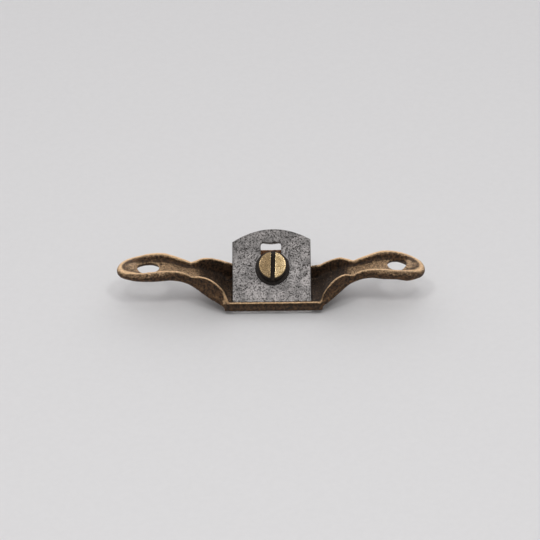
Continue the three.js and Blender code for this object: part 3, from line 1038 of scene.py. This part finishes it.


# %% [markdown]
# ### Worn bronze
#
# Cast bronze goes nearly black in the hollows and brown on the walls, and handling rubs it back to
# a pale tan. So the brown comes first, then tan by how worn the place is, with a painted highlight
# along the crests, painted light on the trough floors that face up and less tan on the walls as
# painted shade. Then soot in the pores, soot and painted shade in the channel and on the toe bar's
# front, and last the rust on the lug. Worn metal is also smoother, so the same mask that brings the
# tan lowers the roughness.

# %% Patterns in the bronze
PATINA = (0.034, 0.023, 0.016)
BROWN = (0.19, 0.105, 0.053)
TAN = (0.86, 0.58, 0.325)
SOOT_AND_SHADE = (0.06, 0.05, 0.044)
RUST = (0.30, 0.13, 0.055)
bronze, tree, shader, place = finish_tree("worn_bronze")
blotch = speckle(tree, place, 0.35, 5, 0.65, 0.38, 0.62)
mottle = speckle(tree, place, 1.3, 6, 0.7, 0.42, 0.6)
fine = speckle(tree, place, 2.6, 4, 0.65, 0.4, 0.62)
pores = speckle(tree, place, 4.2, 3, 0.6, 0.5, 0.62)
glints = speckle(tree, place, 1.9, 4, 0.7, 0.58, 0.68)
rim, toe = mask(tree, "rim"), mask(tree, "toe")

# %% How golden and how dark each place is
golden = plus(tree, mask(tree, "rubbed"), times(tree, times(tree, blotch, mottle), 0.4))
# painted light: trough floors that face up get more tan
golden = plus(tree, golden, times(tree, mask(tree, "trough"), 0.7))
# painted shade, partly duller bronze: less tan on the walls
golden = minus(tree, golden, times(tree, mask(tree, "wall"), 0.55))
golden = times(tree, golden, plus(tree, times(tree, fine, 0.75), 0.25))
# painted highlight, partly wear: the crests get extra tan
crest_wear_and_highlight = plus(tree, times(tree, fine, 0.32), 0.68)
golden = plus(tree, golden, times(tree, rim, crest_wear_and_highlight))

# painted shade on the toe bar's front face, below its top line
shaded_toe_front = minus(tree, toe, rim)
pore_depth = minus(tree, 0.85, times(tree, rim, 0.75))
# dark patina in the hollows, soot and painted shade in the channel
dark = larger(tree, mask(tree, "dirty"), mask(tree, "channel_soot_and_shade"))
dark = larger(tree, dark, times(tree, pores, pore_depth))
dark = larger(tree, dark, times(tree, shaded_toe_front, 0.45))

glints = times(tree, glints, times(tree, mask(tree, "channel_soot_and_shade"), 0.6))
golden = plus(tree, minus(tree, golden, dark), glints)
golden = times(tree, golden, minus(tree, 1.0, times(tree, shaded_toe_front, 0.8)))

# %% Worn bronze
# the soot layer also carries painted shade
soot_and_shade = minus(tree, times(tree, dark, 0.75), glints)
rusty = times(tree, mask(tree, "lug"), plus(tree, times(tree, mottle, 0.5), 0.35))
colour = mixed(tree, golden, mixed(tree, mottle, PATINA, BROWN), TAN)
colour = mixed(tree, soot_and_shade, colour, SOOT_AND_SHADE)
colour = mixed(tree, rusty, colour, RUST)
tree.links.new(colour, shader.inputs["Base Color"])
tree.links.new(ramp(tree, golden, 0.0, 1.0, 0.6, 0.34), shader.inputs["Roughness"])
shader.inputs["Metallic"].default_value = 0.85
bumped(tree, shader, [(fine, 0.6, 0.07), (pores, 0.5, 0.05), (mottle, 0.4, 0.08)])
finish_piece(casting, bronze)
print("worn bronze:", len(tree.nodes), "nodes")

# %% [markdown]
# ### Old steel for the cutter
#
# Old tool steel is grey with fine dark pits. It is darker towards the arched top, and in a few
# rusty patches, so one share rises with both, and the pits are denser where it is high. The ground
# edge under the sole is honed bright, and painted brighter still as a highlight.

# %% Pitted steel
DULL_STEEL, CLEAN_STEEL = (0.25, 0.237, 0.23), (0.46, 0.43, 0.417)
DARKER_STEEL, DUSTED_STEEL = (0.09, 0.086, 0.084), (0.08, 0.076, 0.073)
PITTED_STEEL = (0.035, 0.031, 0.028)
RUBBED_STEEL, HONED_AND_HIGHLIT_STEEL = (0.6, 0.59, 0.57), (0.95, 0.94, 0.93)
steel, tree, shader, place = finish_tree("pitted_steel")
cloud = speckle(tree, place, 0.3, 5, 0.65, 0.36, 0.64)
patches = speckle(tree, place, 0.2, 5, 0.65, 0.44, 0.6, 1.2)
specks = speckle(tree, place, 1.9, 4, 0.65, 0.52, 0.6)
dust = speckle(tree, place, 4.0, 3, 0.6, 0.45, 0.58)
height = along_axis(tree, place, 2)
to_the_arch = ramp(tree, height, 5.0, 17.5, 0.0, 1.0)
below_the_sole = ramp(tree, height, -0.1, -0.5, 0.0, 1.0)
patches_and_darker_top = plus(tree, times(tree, patches, 0.5), times(tree, to_the_arch, 0.45))
dusted = times(tree, dust, plus(tree, patches_and_darker_top, 0.35))
pitted = times(tree, specks, plus(tree, patches_and_darker_top, 0.65))
colour = mixed(tree, cloud, DULL_STEEL, CLEAN_STEEL)
for share, laid_over in (
    (times(tree, patches_and_darker_top, 0.7), DARKER_STEEL),
    (times(tree, dusted, 0.85), DUSTED_STEEL),
    (times(tree, pitted, 0.9), PITTED_STEEL),
    (times(tree, mask(tree, "rubbed"), 0.5), RUBBED_STEEL),
    # painted highlight: the honed edge below the sole is painted near white
    (below_the_sole, HONED_AND_HIGHLIT_STEEL),
):
    colour = mixed(tree, share, colour, laid_over)
tree.links.new(colour, shader.inputs["Base Color"])
tree.links.new(ramp(tree, specks, 0.0, 1.0, 0.42, 0.7), shader.inputs["Roughness"])
shader.inputs["Metallic"].default_value = 0.9
bumped(tree, shader, [(specks, 0.5, 0.05), (dust, 0.35, 0.03)])
finish_piece(cutter, steel)
print("pitted steel:", len(tree.nodes), "nodes")

# %% [markdown]
# ### Bright brass for the screw
#
# Only the top of the head is bright. It is scratched across, and its left half is darker than the
# right. The side of the head and the slot are black, partly with old oil and partly as painted
# shade. Oil is hardly metal at all, so the metallic share drops there too.

# %% Scratched brass
WARM_BRASS, PALE_BRASS = (0.40, 0.29, 0.145), (0.58, 0.44, 0.25)
DARKER_BRASS, SCRATCH, OILY_AND_SHADED = (0.17, 0.11, 0.057), (0.06, 0.04, 0.026), (0.014, 0.009, 0.007)
RUBBED_BRASS = (0.80, 0.64, 0.38)
brass, tree, shader, place = finish_tree("scratched_brass")
cloud = speckle(tree, place, 0.7, 5, 0.6, 0.38, 0.62)
drawn_out = node(tree, "Mapping", {
    "Vector": place, "Rotation": (0.3, 0.2, 0.9), "Scale": (0.5, 5.0, 2.0),
}).outputs[0]
scratches = speckle(tree, drawn_out, 1.1, 5, 0.65, 0.55, 0.68)
left_half_darker = ramp(tree, along_axis(tree, place, 0), 0.6, -0.6, 0.0, 1.0)
scratched = times(tree, scratches, plus(tree, left_half_darker, 0.45))
face = mask(tree, "face")
not_face = minus(tree, 1.0, face)
colour = mixed(tree, cloud, WARM_BRASS, PALE_BRASS)
for share, laid_over in (
    (times(tree, left_half_darker, 0.75), DARKER_BRASS),
    (times(tree, scratched, 0.85), SCRATCH),
    # old oil and painted shade on the head's side and in the slot
    (times(tree, not_face, 0.96), OILY_AND_SHADED),
    (times(tree, mask(tree, "rubbed"), face), RUBBED_BRASS),
):
    colour = mixed(tree, share, colour, laid_over)
rougher = larger(tree, scratches, not_face)
tree.links.new(colour, shader.inputs["Base Color"])
tree.links.new(ramp(tree, not_face, 0.0, 1.0, 1.0, 0.2), shader.inputs["Metallic"])
tree.links.new(ramp(tree, rougher, 0.0, 1.0, 0.24, 0.75), shader.inputs["Roughness"])
bumped(tree, shader, [(scratches, 0.4, 0.04), (cloud, 0.2, 0.05)])
finish_piece(screw, brass)
print("scratched brass:", len(tree.nodes), "nodes")

# %% Oily black steel for the washer
BLACKENED, WORN_BLACK = (0.012, 0.010, 0.009), (0.045, 0.036, 0.030)
black, tree, shader, place = finish_tree("oily_black_steel")
mottle = speckle(tree, place, 1.6, 5, 0.7, 0.4, 0.6)
tree.links.new(mixed(tree, mottle, BLACKENED, WORN_BLACK), shader.inputs["Base Color"])
tree.links.new(ramp(tree, mottle, 0.0, 1.0, 0.45, 0.7), shader.inputs["Roughness"])
shader.inputs["Metallic"].default_value = 0.6
bumped(tree, shader, [(mottle, 0.4, 0.05)])
finish_piece(washer, black)
print("oily black steel:", len(tree.nodes), "nodes")

# %% [markdown]
# ## Riding on the part's bodies
#
# Each piece stands for one node of the imported part and moves with that node's body, so the
# joints of the part move these pieces.

# %% Ride and replace
for piece, body, cad_node, slot in (
    (casting, "casting", "body_casting", "bronze"),
    (cutter, "blade", "cutter", "cutter_steel"),
    (washer, "washer", "clamp_washer", "washer_steel"),
    (screw, "screw", "clamp_screw", "screw_brass"),
):
    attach(piece, body)
    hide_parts(cad_node)
    print(piece.name, "rides on", body)

# %% [markdown]
# ## Floor, light and camera
#
# The tool rests on the cutter's edge in front and on the sole's heel behind, so it sits tipped back
# by about five degrees. The part's frame keeps the sole level, so here the floor is tipped instead.
# The pale surrounding is brightest behind the tool. Two soft lights stand above and in front, left
# and right of the place that the screw's flat face would mirror into the camera, and a wider one
# hangs overhead. Together they put a faint shadow under each handle and a darker one under the toe.

# %% Floor
edge_y = face_at_sole + cutter_foot * math.cos(bed_angle)
edge_z = cutter_foot * math.sin(bed_angle)
floor_rise = (0 - edge_z) / (sole_half - edge_y)
floor_reach, floor_gap = 900.0, 0.02
corners = floor_reach * np.array([[-1, -1], [1, -1], [1, 1], [-1, 1]])
height = edge_z - floor_gap + (corners[:, 1] - edge_y) * floor_rise
floor = put_mesh("floor", np.column_stack([corners, height]), [[0, 1, 2, 3]])
print("floor tips by, degrees:", round(math.degrees(math.atan(floor_rise)), 2))

# %% Paper on the floor
GREY_PAPER, PALE_PAPER = (0.745, 0.74, 0.74), (0.76, 0.755, 0.755)
paper, tree, shader, place = finish_tree("pale_paper")
tooth = speckle(tree, place, 0.5, 3, 0.5, 0.3, 0.7)
tree.links.new(mixed(tree, tooth, GREY_PAPER, PALE_PAPER), shader.inputs["Base Color"])
shader.inputs["Roughness"].default_value = 0.9
finish_piece(floor, paper)
floor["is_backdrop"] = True

# %% Pale surround
surround_front, surround_back = 0.40, 1.6  # its strength in front of the tool and behind it
world = bpy.data.worlds.new("pale_surround")
world.use_nodes = True
tree = world.node_tree
towards_back = along_axis(tree, node(tree, "TexCoord").outputs["Generated"], 1)
strength = ramp(tree, towards_back, 0.0, 1.0, surround_front, surround_back)
background = tree.nodes["Background"]
background.inputs["Color"].default_value = (0.995, 0.985, 1.0, 1)
tree.links.new(strength, background.inputs["Strength"])
bpy.context.scene.world = world
print("surround:", surround_front, "to", surround_back)

# %% Soft lights


def soft_light(name, place, size, power):
    """A square area light at place, in mm, turned towards the middle of the tool."""
    lamp = bpy.data.lights.new(name, "AREA")
    lamp.shape, lamp.size, lamp.energy = "SQUARE", size * MM, power
    light = bpy.data.objects.new(name, lamp)
    place = np.array(place, float)
    light.location = place * MM
    way = Vector((0 - place).tolist())
    light.rotation_mode = "QUATERNION"
    light.rotation_quaternion = way.to_track_quat("-Z", "Y")
    bpy.context.scene.collection.objects.link(light)
    return light


for name, place, size, power in (
    ("front_left", (-190, -320, 680), 130, 0.72),
    ("front_right", (190, -320, 680), 130, 0.72),
    ("overhead", (0, -60, 720), 300, 0.4),
):
    soft_light(name, place, size, power)
    print(name, "light, W:", power)

# %% Camera
elevation, roll, distance = math.radians(32), math.radians(0.6), 1.0
looks_at = Vector((-0.0008, 0, 0.00998))
camera_data = bpy.data.cameras.new("camera")
camera_data.sensor_width = 36
camera_data.lens = 206.7
camera_data.clip_start, camera_data.clip_end = 0.01, 20
camera = bpy.data.objects.new("camera", camera_data)
bpy.context.scene.collection.objects.link(camera)
back = Vector((0, -math.cos(elevation), math.sin(elevation)))
camera.location = looks_at + back * distance
camera.rotation_mode = "QUATERNION"
tilt = Matrix.Rotation(-roll, 3, back)
camera.rotation_quaternion = (tilt @ (-back).to_track_quat("-Z", "Y").to_matrix()).to_quaternion()
bpy.context.scene.camera = camera
bpy.context.scene.view_settings.view_transform = "Standard"
print("camera, m:", [round(v, 4) for v in camera.location])

# %% Measure and finish
low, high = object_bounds()
print("visual box, m:", [round(v, 5) for v in (*low, *high)])
